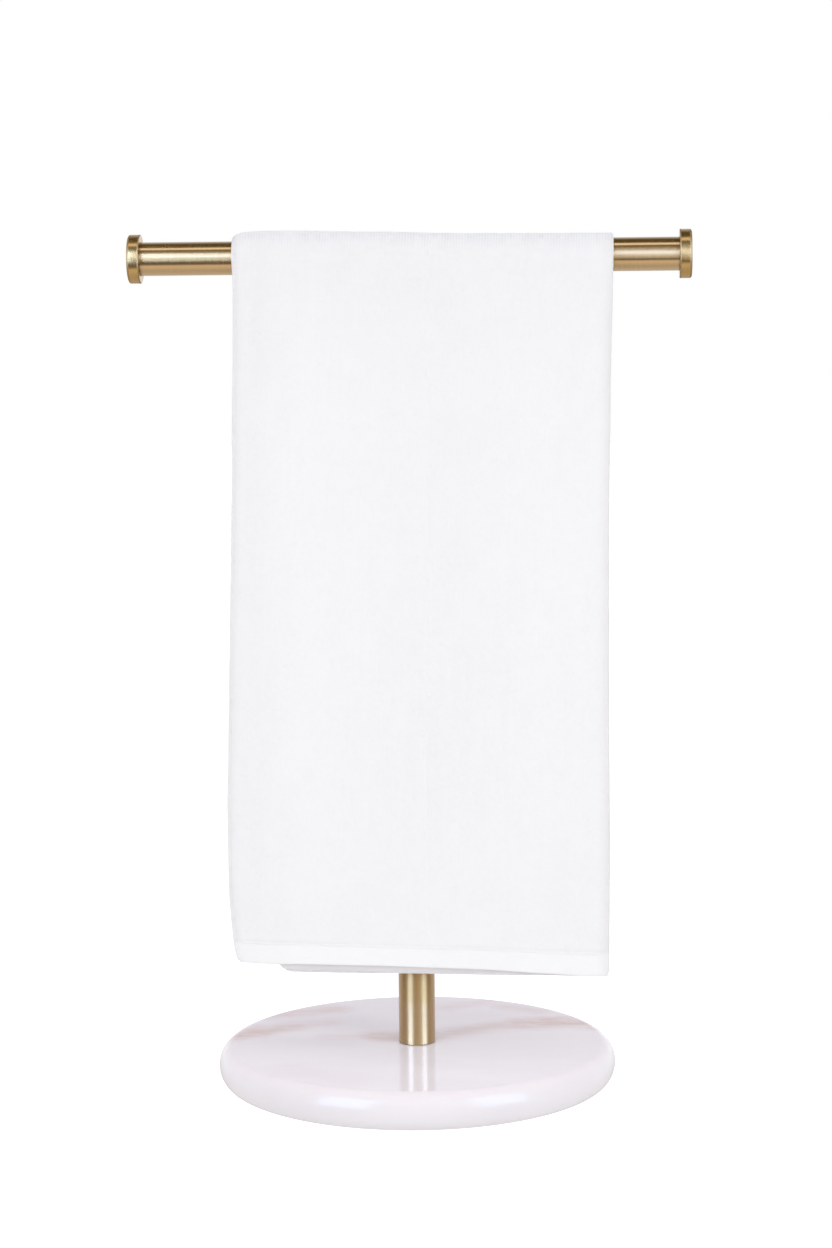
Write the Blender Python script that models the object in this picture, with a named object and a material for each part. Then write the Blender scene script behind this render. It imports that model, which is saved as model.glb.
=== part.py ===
"""Hand towel, folded in half lengthwise and hung over the bar of a countertop stand.

Units are metres and +Z is up. The origin is the centre of the base's underside, the bar
runs along X, and the towel's front panel faces -Y. The towel is one sheet: seen from
above, each panel is a hairpin with its fold at +X and its two free edges at -X.
"""
import math

import bmesh
import bpy
import numpy as np

# ---------------------------------------------------------------- driving dimensions

FIT_GAP = 0.0003              # left between pieces that touch
WELD = 1e-6                   # points closer than this are one
TURNED_SHARP = 35.0           # degrees; a turned piece's edges sharper than this stay crisp
CLOTH_SHARP = 50.0            # the same for the towel

BASE_DIAMETER = 0.217
BASE_HEIGHT = 0.0206
BASE_RIM = 0.0080             # how far the rounded rim reaches out from the flat top
BASE_SEGMENTS = 96
BASE_RIM_STEPS = 8

POST_DIAMETER = 0.020
POST_CHAMFER = 0.0008
POST_SADDLE_RISE = 0.0010     # how far the coped top climbs the bar's sides
POST_SEGMENTS = 64

BAR_LENGTH = 0.300            # over the end caps
BAR_DIAMETER = 0.018
BAR_AXIS_HEIGHT = 0.4485
BAR_SEGMENTS = 64

CAP_DIAMETER = 0.026
CAP_LENGTH = 0.0065
CAP_EDGE = 0.0012             # radius of the cap's rounded outer edge
CAP_EDGE_STEPS = 4
CAP_RELIEF = 0.0005           # chamfer on the cap's edge towards the bar
CAP_SEGMENTS = 64

BAR_RADIUS = BAR_DIAMETER / 2
POST_TOP = BAR_AXIS_HEIGHT - BAR_RADIUS - FIT_GAP + POST_SADDLE_RISE

# ---------------------------------------------------------------- towel

TOWEL_OVER_BAR = 0.0010       # thickness where the bar squeezes the pile
TOWEL_HANGING = 0.0016        # thickness of the free terry
TOWEL_HEM = 0.0013            # thickness of the flat woven hem, which has no pile
HEM_HEIGHT = 0.0115
FLARE_DROP = 0.012            # drop in which the cloth swings out to clear the post
FLARE_AT_BAR_AXIS = 0.6       # share of that swing reached level with the bar's axis

OVER_BAR_STEPS = 14           # rows of the sheet from the front of the bar to its back
FOLD_STEPS = 7                # stations round the lengthwise fold

# Where the rows of a panel lie, as shares of its drop below the bar's axis.
ROW_SHARES = (0.012, 0.024, 0.045, 0.08, 0.13, 0.19, 0.26, 0.33, 0.41, 0.49, 0.57, 0.65, 0.72,
              0.79, 0.85, 0.90, 0.94, 0.969, 0.972, 0.985, 0.993, 1.0)

# Where the stations lie across each ply, from its free edge (0) to the fold (1).
OUTER_SHARES = (0.0, 0.006, 0.015, 0.03, 0.055, 0.09, 0.125, 0.16, 0.21, 0.27, 0.34, 0.42,
                0.50, 0.58, 0.66, 0.74, 0.82, 0.90, 0.96, 1.0)
INNER_SHARES = (0.0, 0.015, 0.04, 0.09, 0.17, 0.27, 0.38, 0.50, 0.62, 0.74, 0.84, 0.93, 1.0)

# X of the sheet's three long edges down a panel, at shares of the drop. The outer ply
# bows out low down and is drawn in at the hem, where its corner and the inner ply's are
# rounded off.
EDGES = (
    # drop     outer      inner     fold
    (0.000, -0.0938, -0.0764, 0.1084),
    (0.030, -0.0932, -0.0764, 0.1081),
    (0.120, -0.0937, -0.0762, 0.1071),
    (0.200, -0.0945, -0.0760, 0.1063),
    (0.340, -0.0959, -0.0758, 0.1056),
    (0.510, -0.0978, -0.0760, 0.1052),
    (0.680, -0.0997, -0.0766, 0.1054),
    (0.790, -0.1009, -0.0768, 0.1055),
    (0.880, -0.1010, -0.0768, 0.1053),
    (0.950, -0.0996, -0.0764, 0.1050),
    (0.975, -0.0987, -0.0758, 0.1049),
    (0.986, -0.0980, -0.0748, 0.1048),
    (0.995, -0.0968, -0.0722, 0.1046),
    (1.000, -0.0947, -0.0686, 0.1038),
)

# Length of each panel's drop below the bar's axis, at shares of the folded width from
# the outer ply's free edge. In front the inner ply shows under the outer one's hem.
DROPS = (
    # width  front_outer  front_inner  back_outer  back_inner
    (0.00, 0.3810, 0.3852, 0.3730, 0.3705),
    (0.08, 0.3814, 0.3854, 0.3732, 0.3707),
    (0.17, 0.3811, 0.3859, 0.3735, 0.3710),
    (0.34, 0.3817, 0.3864, 0.3742, 0.3718),
    (0.52, 0.3829, 0.3868, 0.3752, 0.3730),
    (0.68, 0.3841, 0.3874, 0.3760, 0.3742),
    (0.83, 0.3861, 0.3877, 0.3768, 0.3755),
    (0.95, 0.3875, 0.3880, 0.3772, 0.3768),
    (1.00, 0.3878, 0.3878, 0.3772, 0.3772),
)

# How far each ply's middle surface stands off the bar at its top, at shares of the
# folded width. The sheet lies loose at the left, tight at the fold, and its free edge
# curls down onto the bar.
OVER_BAR = (
    # width   outer    inner
    (0.000, 0.00125, 0.00125),
    (0.006, 0.00230, 0.00140),
    (0.015, 0.00370, 0.00160),
    (0.030, 0.00440, 0.00180),
    (0.060, 0.00475, 0.00200),
    (0.115, 0.00500, 0.00210),
    (0.160, 0.00490, 0.00205),
    (0.262, 0.00430, 0.00180),
    (0.409, 0.00375, 0.00155),
    (0.483, 0.00330, 0.00135),
    (0.556, 0.00275, 0.00110),
    (0.703, 0.00240, 0.00095),
    (0.886, 0.00210, 0.00085),
    (1.000, 0.00205, 0.00083),
)

# The same distance where the panels hang, measured out from the bar's side: high up,
# just below the bar, and low down, at the hem. The outer ply has nothing behind it at
# the left, so it falls back there.
HANGING = (
    # width  outer_high  inner_high  outer_low  inner_low
    (0.00, 0.0041, 0.0040, 0.0033, 0.0042),
    (0.04, 0.0049, 0.0040, 0.0043, 0.0042),
    (0.10, 0.0062, 0.0040, 0.0058, 0.0042),
    (0.16, 0.0068, 0.0040, 0.0067, 0.0043),
    (0.26, 0.0068, 0.0041, 0.0072, 0.0045),
    (0.42, 0.0066, 0.0041, 0.0073, 0.0046),
    (0.58, 0.0065, 0.0040, 0.0070, 0.0044),
    (0.74, 0.0064, 0.0040, 0.0067, 0.0042),
    (0.90, 0.0063, 0.0040, 0.0064, 0.0040),
    (1.00, 0.0062, 0.0040, 0.0063, 0.0040),
)


# ---------------------------------------------------------------- materials

def principled(name, color, roughness, metallic=0.0):
    material = bpy.data.materials.new(name)
    material.use_nodes = True
    shader = material.node_tree.nodes["Principled BSDF"]
    shader.inputs["Base Color"].default_value = (*color, 1.0)
    shader.inputs["Roughness"].default_value = roughness
    shader.inputs["Metallic"].default_value = metallic
    return material


def make_materials():
    return {
        "terry": principled("white terry", (0.90, 0.90, 0.91), 0.95),
        "marble": principled("polished white marble", (0.80, 0.77, 0.76), 0.15),
        "brass": principled("brushed brass", (0.62, 0.45, 0.25), 0.30, 1.0),
    }


# ---------------------------------------------------------------- shared shapes

def add_object(name, mesh, material, sharp):
    mesh.shade_smooth()
    mesh.set_sharp_from_angle(angle=math.radians(sharp))
    mesh.materials.append(material)
    obj = bpy.data.objects.new(name, mesh)
    bpy.context.scene.collection.objects.link(obj)
    return obj


def turned(name, profile, segments, material):
    """A solid of revolution about Z from (radius, height) points, from top to bottom."""
    shape = bmesh.new()
    points = [shape.verts.new((radius, 0.0, height)) for radius, height in profile]
    edges = [shape.edges.new(pair) for pair in zip(points, points[1:])]
    bmesh.ops.spin(shape, geom=points + edges, cent=(0, 0, 0), axis=(0, 0, 1),
                   angle=math.tau, steps=segments, use_merge=True)
    bmesh.ops.remove_doubles(shape, verts=shape.verts, dist=WELD)
    bmesh.ops.recalc_face_normals(shape, faces=shape.faces)
    mesh = bpy.data.meshes.new(name)
    shape.to_mesh(mesh)
    shape.free()
    return add_object(name, mesh, material, TURNED_SHARP)


def read(table, number, place):
    """A table's numbered column at a place along its first column, between its rows."""
    return float(np.interp(place, [row[0] for row in table], [row[number] for row in table]))


def smooth(share):
    """Eases from 0 to 1, flat at both ends."""
    share = min(max(share, 0.0), 1.0)
    return share * share * (3.0 - 2.0 * share)


# ---------------------------------------------------------------- stand

def make_base(marble):
    half = BASE_HEIGHT / 2
    flat = BASE_DIAMETER / 2 - BASE_RIM
    profile = [(0.0, BASE_HEIGHT)]
    for step in range(BASE_RIM_STEPS + 1):
        angle = math.pi / 2 - math.pi * step / BASE_RIM_STEPS
        profile.append((flat + BASE_RIM * math.cos(angle), half + half * math.sin(angle)))
    profile.append((0.0, 0.0))
    return turned("base", profile, BASE_SEGMENTS, marble)


def make_post(brass):
    radius = POST_DIAMETER / 2
    foot = BASE_HEIGHT + FIT_GAP
    profile = [
        (0.0, POST_TOP),
        (radius - POST_CHAMFER, POST_TOP),
        (radius, POST_TOP - POST_CHAMFER),
        (radius, foot),
        (0.0, foot),
    ]
    post = turned("post", profile, POST_SEGMENTS, brass)

    saddle = lying_cylinder("post_saddle_cutter", BAR_RADIUS + FIT_GAP, POST_DIAMETER * 2, brass)
    saddle.hide_render = True
    saddle.display_type = "WIRE"
    cut = post.modifiers.new("saddle", "BOOLEAN")
    cut.operation = "DIFFERENCE"
    cut.object = saddle
    return post


def lying_cylinder(name, radius, length, material):
    """A round bar along X, centred on the bar's axis."""
    half = length / 2
    bar = turned(name, [(0.0, half), (radius, half), (radius, -half), (0.0, -half)],
                 BAR_SEGMENTS, material)
    bar.rotation_euler = (0.0, math.pi / 2, 0.0)
    bar.location = (0.0, 0.0, BAR_AXIS_HEIGHT)
    return bar


def make_bar(brass):
    return lying_cylinder("bar", BAR_RADIUS, BAR_LENGTH - 2 * (CAP_LENGTH + FIT_GAP), brass)


def make_cap(name, side, brass):
    """A disc that closes one end of the bar; side is -1 at the left and 1 at the right."""
    radius = CAP_DIAMETER / 2
    profile = [(0.0, CAP_LENGTH)]
    for step in range(CAP_EDGE_STEPS + 1):
        angle = math.pi / 2 * (1 - step / CAP_EDGE_STEPS)
        profile.append((radius - CAP_EDGE + CAP_EDGE * math.cos(angle),
                        CAP_LENGTH - CAP_EDGE + CAP_EDGE * math.sin(angle)))
    profile += [(radius, CAP_RELIEF), (radius - CAP_RELIEF, 0.0), (0.0, 0.0)]
    cap = turned(name, profile, CAP_SEGMENTS, brass)
    cap.rotation_euler = (0.0, side * math.pi / 2, 0.0)
    cap.location = (side * (BAR_LENGTH / 2 - CAP_LENGTH), 0.0, BAR_AXIS_HEIGHT)
    return cap


# ---------------------------------------------------------------- the towel's sheet

def sheet_rows():
    """The rows along the sheet, from the front hem over the bar to the back hem.

    Each row is (panel, place): a share of the drop on the front or back panel, or over
    the bar the angle from its front, 0, to its back, pi.
    """
    rows = [("front", share) for share in reversed(ROW_SHARES)]
    rows += [("over", math.pi * step / OVER_BAR_STEPS) for step in range(OVER_BAR_STEPS + 1)]
    rows += [("back", share) for share in ROW_SHARES]
    return rows


def sheet_stations():
    """The stations round the hairpin: outer ply, lengthwise fold, inner ply."""
    stations = [("outer", share) for share in OUTER_SHARES]
    stations += [("fold", math.pi * step / FOLD_STEPS) for step in range(1, FOLD_STEPS)]
    stations += [("inner", share) for share in reversed(INNER_SHARES)]
    return stations


def full_drop(width, ply, panel):
    """Length of a ply's drop on a panel at a share of the folded width."""
    number = {("front", "outer"): 1, ("front", "inner"): 2,
              ("back", "outer"): 3, ("back", "inner"): 4}[panel, ply]
    return read(DROPS, number, width)


def flare(panel, place, drop):
    """How far the cloth has swung out from the bar: 0 on top of it, 1 where it hangs free."""
    if panel == "over":
        return FLARE_AT_BAR_AXIS * (1.0 - math.sin(place))
    return FLARE_AT_BAR_AXIS + (1.0 - FLARE_AT_BAR_AXIS) * smooth(drop / FLARE_DROP)


def stand_off(width, ply, panel, place, drop):
    """Distance from the bar's surface, or its side, to a ply's middle surface."""
    number = {"outer": 1, "inner": 2}[ply]
    on_bar = read(OVER_BAR, number, width)
    high = read(HANGING, number, width)
    low = read(HANGING, number + 2, width)
    sink = 0.0 if panel == "over" else smooth(place)
    hanging = high + (low - high) * sink
    return on_bar + (hanging - on_bar) * flare(panel, place, drop)


def thickness(panel, place, drop, to_hem_edge):
    if panel != "over" and to_hem_edge < HEM_HEIGHT:
        return TOWEL_HEM
    return TOWEL_OVER_BAR + (TOWEL_HANGING - TOWEL_OVER_BAR) * flare(panel, place, drop)


def in_space(panel, place, x, off, drop):
    """A point of the sheet at distance off from the bar, on any panel."""
    reach = BAR_RADIUS + off
    if panel == "front":
        return (x, -reach, BAR_AXIS_HEIGHT - drop)
    if panel == "back":
        return (x, reach, BAR_AXIS_HEIGHT - drop)
    return (x, -reach * math.cos(place), BAR_AXIS_HEIGHT + reach * math.sin(place))


def middle_point(row, station):
    """A point of the sheet's middle surface, and the sheet's thickness there."""
    panel, place = row
    ply, share = station
    over = panel == "over"
    outer_x, inner_x, fold_x = (read(EDGES, number, 0.0 if over else place) for number in (1, 2, 3))

    def layer(width, side):
        """The drop, stand-off and thickness of one ply at a share of the folded width."""
        full = 0.0 if over else full_drop(width, side, panel)
        drop = 0.0 if over else place * full
        off = stand_off(width, side, panel, place, drop)
        return drop, off, thickness(panel, place, drop, full - drop)

    drop, outer_off, thick = layer(1.0, "outer")
    inner_off = layer(1.0, "inner")[1]
    radius = (outer_off - inner_off) / 2
    centre = fold_x - thick / 2 - radius
    if ply == "fold":
        off = (outer_off + inner_off) / 2 + radius * math.cos(share)
        return in_space(panel, place, centre + radius * math.sin(share), off, drop), thick

    start = outer_x if ply == "outer" else inner_x
    x = start + (centre - start) * share
    drop, off, thick = layer((x - outer_x) / (centre - outer_x), ply)
    return in_space(panel, place, x, off, drop), thick


def unit(vectors):
    return vectors / np.linalg.norm(vectors, axis=-1, keepdims=True)


def rim_steps(row_count, station_count):
    """Each step from one grid corner to the next, once round the sheet's whole edge."""
    last_row, last_station = row_count - 1, station_count - 1
    rim = [(0, j) for j in range(last_station)]
    rim += [(i, last_station) for i in range(last_row)]
    rim += [(last_row, j) for j in range(last_station, 0, -1)]
    rim += [(i, 0) for i in range(last_row, 0, -1)]
    return zip(rim, rim[1:] + rim[:1])


def make_towel(terry):
    """The sheet's middle surface as a grid, thickened to both sides and closed round its edge."""
    rows, stations = sheet_rows(), sheet_stations()
    samples = [[middle_point(row, station) for station in stations] for row in rows]
    middle = np.array([[point for point, _ in line] for line in samples])
    thick = np.array([[value for _, value in line] for line in samples])[..., None]

    along = np.gradient(middle, axis=0)
    across = np.gradient(middle, axis=1)
    outward = unit(np.cross(unit(along), unit(across)))
    skins = (middle - outward * thick / 2, middle + outward * thick / 2)

    shape = bmesh.new()
    near, far = [[[shape.verts.new(point) for point in line] for line in skin] for skin in skins]
    for row in range(len(rows) - 1):
        for station in range(len(stations) - 1):
            corners = ((row, station), (row, station + 1), (row + 1, station + 1), (row + 1, station))
            shape.faces.new([near[i][j] for i, j in corners])
            shape.faces.new([far[i][j] for i, j in reversed(corners)])
    for (i, j), (k, l) in rim_steps(len(rows), len(stations)):
        shape.faces.new((near[i][j], far[i][j], far[k][l], near[k][l]))
    bmesh.ops.recalc_face_normals(shape, faces=shape.faces)
    mesh = bpy.data.meshes.new("towel")
    shape.to_mesh(mesh)
    shape.free()
    return add_object("towel", mesh, terry, CLOTH_SHARP)


# ---------------------------------------------------------------- the part

def main():
    for obj in list(bpy.data.objects):
        bpy.data.objects.remove(obj, do_unlink=True)
    materials = make_materials()
    make_base(materials["marble"])
    make_post(materials["brass"])
    make_bar(materials["brass"])
    make_cap("cap_left", -1, materials["brass"])
    make_cap("cap_right", 1, materials["brass"])
    make_towel(materials["terry"])


main()
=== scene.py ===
"""The looks of a hand towel on a countertop stand: terry pile, woven hems, brushed brass, marble.

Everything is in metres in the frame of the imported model: the origin is the centre of the
base's underside, +Z is up, the bar runs along X and the towel's front panel faces -Y.
"""

import math

import bpy
import numpy as np
from mathutils import Matrix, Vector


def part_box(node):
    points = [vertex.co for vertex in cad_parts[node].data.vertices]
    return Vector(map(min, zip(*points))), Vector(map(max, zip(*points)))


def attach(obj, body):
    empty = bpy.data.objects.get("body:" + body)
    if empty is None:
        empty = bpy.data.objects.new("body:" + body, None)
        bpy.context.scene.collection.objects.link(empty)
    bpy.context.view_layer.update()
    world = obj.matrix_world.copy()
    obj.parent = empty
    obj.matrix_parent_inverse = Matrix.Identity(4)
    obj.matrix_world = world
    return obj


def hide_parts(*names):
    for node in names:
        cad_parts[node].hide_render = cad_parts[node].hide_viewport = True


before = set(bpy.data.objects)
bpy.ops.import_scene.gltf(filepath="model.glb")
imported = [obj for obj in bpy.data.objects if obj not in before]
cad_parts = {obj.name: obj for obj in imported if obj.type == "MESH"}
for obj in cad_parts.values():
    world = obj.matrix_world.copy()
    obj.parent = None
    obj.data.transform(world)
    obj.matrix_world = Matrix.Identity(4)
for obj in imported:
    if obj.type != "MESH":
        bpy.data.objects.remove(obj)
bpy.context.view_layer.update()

MM = 0.001
SEED = 7

# ---------------- sizes, from the frame

bar_low, bar_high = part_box("bar")
post_low, post_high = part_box("post")
base_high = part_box("base")[1]
cap_low, cap_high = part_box("cap_left")

BAR_AXIS = (bar_low.z + bar_high.z) / 2
BAR_RADIUS = (bar_high.z - bar_low.z) / 2
BAR_HALF = bar_high.x
POST_RADIUS = post_high.x
CAP_RADIUS = (cap_high.z - cap_low.z) / 2
CAP_LENGTH = cap_high.x - cap_low.x
BASE_RADIUS = base_high.x
BASE_HEIGHT = base_high.z
cap_outer_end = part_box("cap_right")[1].x

BASE_RIM = 8.0 * MM            # how far the rounded rim reaches out from the flat top
CAP_EDGE = 1.3 * MM            # radius of a cap's outer edge
CAP_RELIEF = 0.5 * MM          # the small round on its inner edge
POST_CHAMFER = 0.8 * MM
BAR_INTO_GAP = 0.29 * MM       # the tube all but touches its caps
SADDLE_GAP = 0.3 * MM
FLAT_MARGIN = 0.15 * MM        # a flat's last ring, this far inside its edge, keeps it flat-shaded

TURNED_SEGMENTS = 192
BASE_SEGMENTS = 224

# ---------------- towel sizes

OVER_BAR_THICKNESS = 1.0 * MM
HANGING_THICKNESS = 1.6 * MM
HEM_THICKNESS = 1.3 * MM
PILE_HEIGHT = 0.45 * MM
SELVAGE = 1.3 * MM             # the plain edge between the pile and each free edge
FLARE_DROP = 12.0 * MM         # drop in which the cloth swings out to clear the post
FLARE_AT_BAR_AXIS = 0.6
OUTER_WIDTH = 0.200            # the plies' rough widths, that turn distances into shares
INNER_WIDTH = 0.178
ROUGH_DROP = 0.385             # the same for a panel's drop
HEM_MARGIN = 0.01 * MM         # a row this near the hem's top is pile

LOOP_ACROSS = 1.5 * MM         # spacing of the terry loops
LOOP_ALONG = 1.4 * MM
PILE_SEAM_ANGLE = math.radians(150)   # over the bar, where the front and back pile meet
PILE_ON_INNER_PLY = 4.5 * MM   # how far the pile is carried round the fold

# X of the sheet's three long edges down a panel, at shares of the drop.
EDGES = np.array((
    # drop     outer      inner     fold
    (0.000, -0.0938, -0.0764, 0.1086),
    (0.030, -0.0932, -0.0764, 0.1084),
    (0.120, -0.0937, -0.0762, 0.1075),
    (0.200, -0.0945, -0.0760, 0.1069),
    (0.340, -0.0959, -0.0758, 0.1062),
    (0.510, -0.0979, -0.0760, 0.1058),
    (0.680, -0.0999, -0.0766, 0.1059),
    (0.790, -0.1011, -0.0768, 0.1060),
    (0.880, -0.1011, -0.0768, 0.1059),
    (0.950, -0.0997, -0.0764, 0.1056),
    (0.975, -0.0987, -0.0758, 0.1055),
    (0.986, -0.0980, -0.0748, 0.1054),
    (0.995, -0.0968, -0.0722, 0.1052),
    (1.000, -0.0947, -0.0686, 0.1044),
))

# Length of each panel's drop below the bar's axis, at shares of the folded width.
DROPS = np.array((
    # width  front_outer  front_inner  back_outer  back_inner
    (0.00, 0.3810, 0.3852, 0.3730, 0.3705),
    (0.08, 0.3814, 0.3854, 0.3732, 0.3707),
    (0.17, 0.3811, 0.3859, 0.3735, 0.3710),
    (0.34, 0.3817, 0.3864, 0.3742, 0.3718),
    (0.52, 0.3829, 0.3868, 0.3752, 0.3730),
    (0.68, 0.3841, 0.3874, 0.3760, 0.3742),
    (0.83, 0.3861, 0.3877, 0.3768, 0.3755),
    (0.95, 0.3875, 0.3880, 0.3772, 0.3768),
    (1.00, 0.3878, 0.3878, 0.3772, 0.3772),
))

# How far each ply's middle surface stands off the bar at its top.
OVER_BAR = np.array((
    # width   outer    inner
    (0.000, 0.00125, 0.00125),
    (0.006, 0.00230, 0.00140),
    (0.015, 0.00370, 0.00160),
    (0.030, 0.00440, 0.00180),
    (0.060, 0.00475, 0.00200),
    (0.115, 0.00500, 0.00210),
    (0.160, 0.00490, 0.00205),
    (0.262, 0.00430, 0.00180),
    (0.409, 0.00375, 0.00155),
    (0.483, 0.00330, 0.00135),
    (0.556, 0.00275, 0.00110),
    (0.703, 0.00240, 0.00095),
    (0.886, 0.00210, 0.00085),
    (1.000, 0.00205, 0.00083),
))

# The same distance where the panels hang, measured out from the bar's side.
HANGING = np.array((
    # width  outer_high  inner_high  outer_low  inner_low
    (0.00, 0.0041, 0.0040, 0.0033, 0.0042),
    (0.04, 0.0049, 0.0040, 0.0043, 0.0042),
    (0.10, 0.0062, 0.0040, 0.0058, 0.0042),
    (0.16, 0.0068, 0.0040, 0.0067, 0.0043),
    (0.26, 0.0068, 0.0041, 0.0072, 0.0045),
    (0.42, 0.0066, 0.0041, 0.0073, 0.0046),
    (0.58, 0.0065, 0.0040, 0.0070, 0.0044),
    (0.74, 0.0064, 0.0040, 0.0067, 0.0042),
    (0.90, 0.0063, 0.0040, 0.0064, 0.0040),
    (1.00, 0.0062, 0.0040, 0.0063, 0.0040),
))

# Height of the woven hem.
HEM = np.array((
    # width  height
    (0.00, 0.0120),
    (0.45, 0.0113),
    (1.00, 0.0128),
))
HEM_AT_EDGE, HEM_AT_MIDDLE = HEM[:2, 1]

# The panels' soft ridges (outwards) and troughs (inwards), each a smooth mound with its
# middle, reach and slant: x moves by slant for each metre of drop.
CREASES = (
    # x       drop   half_width  half_drop  slant   height
    (-0.0860, 0.200, 0.0070, 0.190, 0.000, -0.00060),
    (-0.0520, 0.200, 0.0150, 0.170, 0.010, 0.00100),
    (0.0060, 0.150, 0.0170, 0.120, -0.020, -0.00070),
    (0.0000, 0.285, 0.0150, 0.060, -0.050, -0.00060),
    (0.0660, 0.190, 0.0170, 0.170, 0.000, 0.00090),
    (0.0820, 0.345, 0.0180, 0.040, 0.050, -0.00050),
)
INNER_CREASE = 0.5             # the inner ply's share of each
CREASE_START = 0.030           # drop over which they grow from nothing

# Painted shade and painted light on the panels: soft mounds darker in the troughs and lighter on the ridges.
PAINTED_CREASE_SHADING = (
    # x       drop   half_width  half_drop  slant   change
    (-0.0880, 0.200, 0.0065, 0.190, -0.030, -0.010),
    (-0.0600, 0.200, 0.0110, 0.190, 0.000, 0.009),
    (-0.0380, 0.200, 0.0160, 0.180, 0.000, 0.004),
    (0.0120, 0.150, 0.0200, 0.140, -0.020, -0.008),
    (0.0020, 0.285, 0.0130, 0.035, 0.000, -0.004),
    (0.0700, 0.190, 0.0180, 0.180, 0.000, 0.005),
    (0.0880, 0.350, 0.0200, 0.040, 0.000, -0.004),
)
SELVAGE_PAINTED_SHADE = (-0.052, 2.8 * MM)    # painted shade at the free edge, and its reach inwards
SELVAGE_PAINTED_SHADE_AT_BAR = 0.4            # its share there
SELVAGE_PAINTED_SHADE_GROWS = 45.0 * MM       # drop in which it grows to the whole
CREST_PAINTED_LIGHT = (0.146, 4.7 * MM)       # painted light at the towel's top, and its reach down
UNDER_BAR_PAINTED_SHADE = (-0.035, 45.0 * MM)  # painted shade at the bar's height, and its reach down
HEM_LINE_PAINTED_SHADE = (-0.026, 1.1 * MM)   # painted shade along the hem's top, and its reach
HEM_LINE_RAISED = 0.4 * MM           # how far above the hem's top it lies
FOLD_PAINTED_SHADE = (-0.070, 3.8 * MM)       # painted shade at the fold, and its reach inwards
INNER_HEM_PAINTED_SHADE = (-0.140, 4.0 * MM, 8.0 * MM)    # painted shade on the inner ply's hem, and where it ends


# ---------------- small helpers

def smooth(share):
    """Eases from 0 to 1, flat at both ends."""
    share = np.clip(share, 0.0, 1.0)
    return share * share * (3.0 - 2.0 * share)


def slopes(xs, ys):
    """Slopes at a table's rows for a curve through them that never overshoots."""
    steps = np.diff(ys) / np.diff(xs)
    before, after = steps[:-1], steps[1:]
    total = np.where(before + after == 0, 1, before + after)
    inner = np.where(before * after > 0, 2 * before * after / total, 0)
    return np.concatenate((steps[:1], inner, steps[-1:]))


def read(table, number, places):
    """A table's numbered column at places along its first column, on a smooth curve."""
    xs, ys = table[:, 0], table[:, number]
    tangents = slopes(xs, ys)
    places = np.clip(places, xs[0], xs[-1])
    row = np.clip(np.searchsorted(xs, places) - 1, 0, len(xs) - 2)
    span = xs[row + 1] - xs[row]
    t = (places - xs[row]) / span
    return ((2 * t**3 - 3 * t**2 + 1) * ys[row] + (t**3 - 2 * t**2 + t) * span * tangents[row]
            + (3 * t**2 - 2 * t**3) * ys[row + 1] + (t**3 - t**2) * span * tangents[row + 1])


def unit(vectors):
    return vectors / np.linalg.norm(vectors, axis=-1, keepdims=True)


def numbered(*shape):
    """The point numbers of a grid."""
    return np.arange(math.prod(shape)).reshape(shape)


def grid_quads(index):
    """The quads of one or more grids of point numbers."""
    near, far = index[..., :-1, :], index[..., 1:, :]
    corners = (near[..., :-1], near[..., 1:], far[..., 1:], far[..., :-1])
    return np.stack(corners, axis=-1).reshape(-1, 4)


def closed_quads(index):
    """The same where each grid's last column also joins its first."""
    return grid_quads(np.concatenate((index, index[..., :1]), axis=-1))


def linked(name, data):
    """A new object in the scene."""
    obj = bpy.data.objects.new(name, data)
    bpy.context.scene.collection.objects.link(obj)
    return obj


def mesh_object(name, points, face_sets, materials, uvs=None, face_materials=None, sharp_angle=None):
    """A smooth-shaded mesh object from arrays of points and of faces with the same number of corners."""
    mesh = bpy.data.meshes.new(name)
    mesh.vertices.add(np.size(points) // 3)
    mesh.vertices.foreach_set("co", np.asarray(points, np.float32).ravel())
    corners = np.concatenate([faces.ravel() for faces in face_sets]).astype(np.int32)
    sizes = np.concatenate([np.full(len(faces), faces.shape[1]) for faces in face_sets])
    mesh.loops.add(len(corners))
    mesh.loops.foreach_set("vertex_index", corners)
    mesh.polygons.add(len(sizes))
    mesh.polygons.foreach_set("loop_start", np.concatenate(([0], np.cumsum(sizes)[:-1])).astype(np.int32))
    mesh.polygons.foreach_set("use_smooth", np.ones(len(sizes), bool))
    for finish in materials:
        mesh.materials.append(finish)
    if face_materials is not None:
        mesh.polygons.foreach_set("material_index", np.asarray(face_materials, np.int32))
    mesh.update(calc_edges=True)
    if uvs is not None:
        layer = mesh.uv_layers.new(name="surface")
        layer.data.foreach_set("uv", np.reshape(uvs, (-1, 2)).astype(np.float32)[corners].ravel())
    if sharp_angle is not None:
        mesh.set_sharp_from_angle(angle=sharp_angle)
    return linked(name, mesh)


def add_painted_shading(obj, values):
    """A value for each point that the cloth's material multiplies its colour by: painted shade and painted
    light, with some uneven tone.
    """
    painted_shading_and_tone = obj.data.attributes.new("painted_shading_and_tone", "FLOAT", "POINT")
    painted_shading_and_tone.data.foreach_set("value", np.asarray(values, np.float32).ravel())


# ---------------- the towel's surface

OUTER, FOLD, INNER = 0, 1, 2
FRONT, OVER, BACK = 0, 1, 2


def flare(panel, place, drop):
    """How far the cloth has swung out from the bar: 0 on top of it, 1 where it hangs free."""
    if panel == OVER:
        return FLARE_AT_BAR_AXIS * (1.0 - np.sin(place))
    return FLARE_AT_BAR_AXIS + (1.0 - FLARE_AT_BAR_AXIS) * smooth(drop / FLARE_DROP)


def full_drop(width, ply, panel):
    return read(DROPS, 1 + (ply == INNER) + 2 * (panel == BACK), width)


def stand_off(width, ply, panel, place, drop):
    """Distance from the bar's surface, or its side, to a ply's middle surface."""
    number = 1 + (ply == INNER)
    on_bar = read(OVER_BAR, number, width)
    high = read(HANGING, number, width)
    low = read(HANGING, number + 2, width)
    sink = 0.0 if panel == OVER else smooth(place)
    return on_bar + (high + (low - high) * sink - on_bar) * flare(panel, place, drop)


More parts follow.
